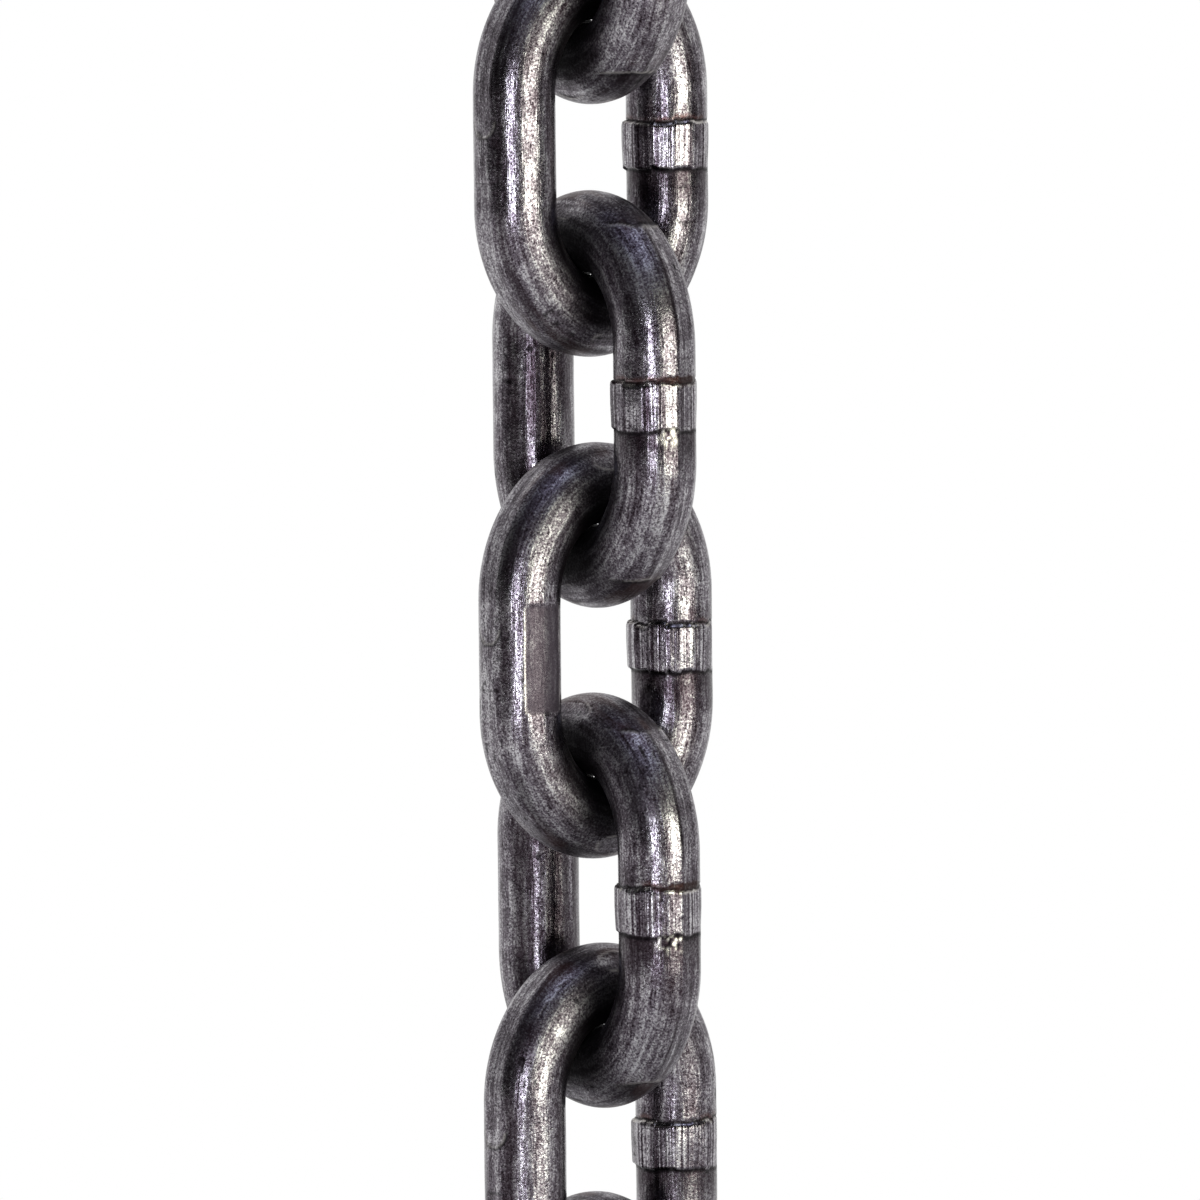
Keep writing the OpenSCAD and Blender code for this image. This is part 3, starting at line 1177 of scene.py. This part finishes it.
@dataclass
class Studio:
    """Camera, lamps, pale floor and white surround."""

    eye: Vector = field(default_factory=lambda: Vector((-1.0974, -1.3765, -0.0150)))
    target: Vector = field(default_factory=lambda: Vector((0.000965, 0.000124, -0.1709)))
    roll: float = 0.569
    lens: float = 336.2
    floor_z: float = -0.392
    floor_r: float = 3.0
    sensor: float = 36.0
    clip: tuple[float, float] = (0.05, 50.0)
    surround_turn: tuple[float, float] = (-0.5, 0.15)
    lamp_side: float = 0.06
    ambient: float = 0.03

    @property
    def towards_camera(self) -> Vector:
        """Level direction from the chain to the camera."""
        back = self.eye - self.target
        return Vector((back.x, back.y, 0.0)).normalized()

    def build(self) -> None:
        """Sets up the camera, the lamps, the floor and the world."""
        self.place_camera()
        aim = Vector((0.0, 0.0, self.target.z))
        for box in (
            Softbox("broad_softbox", 45.0, -0.1, 1.3, 0.86, 0.95, 5.9, "#fafce9"),
            Softbox("strip_softbox", -8.0, -0.1, 1.5, 0.20, 0.95, 12.0, "#f4f5ff"),
            Softbox("top_softbox", 20.0, 1.5, 0.35, 1.1, 1.1, 1.5, "#dbe3ff"),
        ):
            box.build(self.towards_camera, aim)
        self.lay_floor()
        self.light_world()

    def place_camera(self) -> None:
        """Places the camera as the photograph's was."""
        data = bpy.data.cameras.new("camera")
        data.lens, data.sensor_width = self.lens, self.sensor
        data.clip_start, data.clip_end = self.clip
        ahead = (self.target - self.eye).normalized()
        right = ahead.cross(Vector((0.0, 0.0, 1.0))).normalized()
        up = right.cross(ahead)
        t = math.radians(self.roll)
        side, top = right * math.cos(t) - up * math.sin(t), right * math.sin(t) + up * math.cos(t)
        turn = Matrix((side, top, -ahead)).transposed().to_4x4()
        camera = bpy.data.objects.new("camera", data)
        camera.matrix_world = Matrix.Translation(self.eye) @ turn
        bpy.context.collection.objects.link(camera)
        bpy.context.scene.camera = camera

    def lay_floor(self) -> None:
        """Lays the pale floor under the chain, which keeps its shadow and fades to the white surround."""
        bm = bmesh.new()
        bmesh.ops.create_circle(bm, cap_ends=True, radius=self.floor_r, segments=96)
        bmesh.ops.translate(bm, vec=(0.0, 0.0, self.floor_z), verts=bm.verts)
        mesh = bpy.data.meshes.new("studio_floor")
        bm.to_mesh(mesh)
        bm.free()
        mesh.materials.append(FloorPaper().make())
        floor = bpy.data.objects.new("studio_floor", mesh)
        bpy.context.collection.objects.link(floor)

    def light_world(self) -> None:
        """Makes the surround: white to the eye and in reflections behind the chain, dim by the lamps."""
        world = bpy.data.worlds.new("studio")
        bpy.context.scene.world = world
        add = cleared(world)
        way = add("ShaderNodeTexCoord").outputs["Generated"]
        compared = {0: way, 1: tuple(self.towards_camera)}
        front = add("ShaderNodeVectorMath", compared, operation="DOT_PRODUCT").outputs["Value"]
        back, fore = self.surround_turn
        span = {"Value": front, "From Min": back, "From Max": fore, "To Min": 1.0, "To Max": self.lamp_side}
        dim = add("ShaderNodeMapRange", span, interpolation_type="SMOOTHSTEP").outputs[0]
        ray = add("ShaderNodeLightPath").outputs
        glossy = {0: ray["Is Glossy Ray"], 2: self.ambient, 3: dim}
        lit = add("ShaderNodeMix", glossy, data_type="FLOAT").outputs[0]
        direct = {0: ray["Is Camera Ray"], 1: ray["Is Transmission Ray"]}
        seen = add("ShaderNodeMath", direct, operation="MAXIMUM").outputs[0]
        level = add("ShaderNodeMix", {0: seen, 2: lit, 3: 1.0}, data_type="FLOAT").outputs[0]
        sky = add("ShaderNodeBackground", {"Color": linear("#ffffff"), "Strength": level})
        add("ShaderNodeOutputWorld", {"Surface": sky.outputs[0]})


@dataclass(frozen=True)
class FloorPaper:
    """White seamless paper: matt, and lit by the lamps near the chain. Distances from it are in metres."""

    name: str = "studio_paper"
    paper: str = "#f4f4f4"
    near: float = 0.12
    far: float = 0.5
    near_white: float = 0.5

    def make(self) -> bpy.types.Material:
        """Builds the material.

        Returns:
            The finished material.
        """
        material = bpy.data.materials.new(self.name)
        add = cleared(material)
        place = add("ShaderNodeTexCoord").outputs["Object"]
        apart = add("ShaderNodeVectorMath", {0: place, 1: (1.0, 1.0, 0.0)}, operation="MULTIPLY")
        reach = add("ShaderNodeVectorMath", {0: apart.outputs[0]}, operation="LENGTH").outputs["Value"]
        span = {"Value": reach, "From Min": self.near, "From Max": self.far, "To Min": self.near_white}
        fade = add("ShaderNodeMapRange", span, interpolation_type="SMOOTHSTEP").outputs[0]
        ray = add("ShaderNodeLightPath").outputs
        seen = ray["Is Camera Ray"]
        for name in ("Is Glossy Ray", "Is Transmission Ray"):
            seen = add("ShaderNodeMath", {0: seen, 1: ray[name]}, operation="MAXIMUM").outputs[0]
        share = add("ShaderNodeMath", {0: seen, 1: fade}, operation="MULTIPLY").outputs[0]
        paper = add("ShaderNodeBsdfDiffuse", {"Color": linear(self.paper)}).outputs[0]
        white = add("ShaderNodeEmission", {"Color": linear("#ffffff"), "Strength": 1.0}).outputs[0]
        mixed = add("ShaderNodeMixShader", {0: share, 1: paper, 2: white}).outputs[0]
        add("ShaderNodeOutputMaterial", {"Surface": mixed})
        return material


def main() -> None:
    """Builds the chain and the studio, and reports each piece."""
    logging.basicConfig(level=logging.INFO, format="%(name)s: %(message)s")
    Studio().build()
    SlingChain().build()
    bpy.context.scene.view_settings.view_transform = "Standard"


if __name__ == "__main__":
    main()
